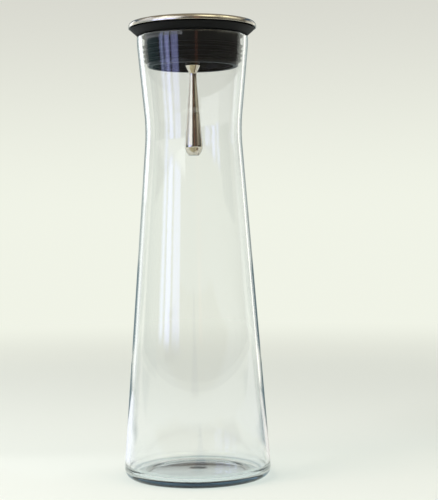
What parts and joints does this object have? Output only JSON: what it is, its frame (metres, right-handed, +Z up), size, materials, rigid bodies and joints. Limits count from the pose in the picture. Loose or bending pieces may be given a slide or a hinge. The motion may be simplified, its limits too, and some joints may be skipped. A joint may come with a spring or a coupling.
{
  "type": "glass carafe",
  "caption": "Tall waisted glass carafe with a lift-out pour stopper and a hinged steel lid that a hanging weight opens when the carafe is tilted.",
  "frame": {"origin": "on the table at the centre of the foot", "axes": "+Z up along the body; -Y is the pouring side at the front; the lid's hinge is at the back, +Y"},
  "size_m": [0.096, 0.096, 0.2976],
  "materials": {
    "clear_glass": "clear, polished",
    "polished_steel": "polished stainless",
    "dark_plastic": "satin",
    "dark_silicone": "matt",
    "brass": "plain turned"
  },
  "bodies": {
    "carafe": {"glass_body": "clear_glass"},
    "stopper": {"stopper_core": "dark_plastic", "pour_collar": "dark_silicone", "ribbed_sleeve": "dark_silicone", "retaining_ring": "dark_plastic", "hinge_pin": "polished_steel"},
    "lid": {"lid_cap": "polished_steel", "lid_plate": "dark_plastic", "lid_gasket": "dark_silicone", "stem_screw": "polished_steel", "lid_stem": "dark_plastic", "threaded_insert": "brass", "stem_washer": "dark_silicone", "weight_stud": "polished_steel", "hanging_weight": "polished_steel"}
  },
  "joints": [
    {"name": "stopper_lift", "type": "slide", "parent": "carafe", "child": "stopper", "axis": [0, 0, 1], "range_m": [0, 0.13]},
    {"name": "lid_hinge", "type": "hinge", "parent": "stopper", "child": "lid", "pos_m": [0, 0.0444, 0.2924], "axis": [-1, 0, 0], "range_deg": [0, 17]}
  ]
}
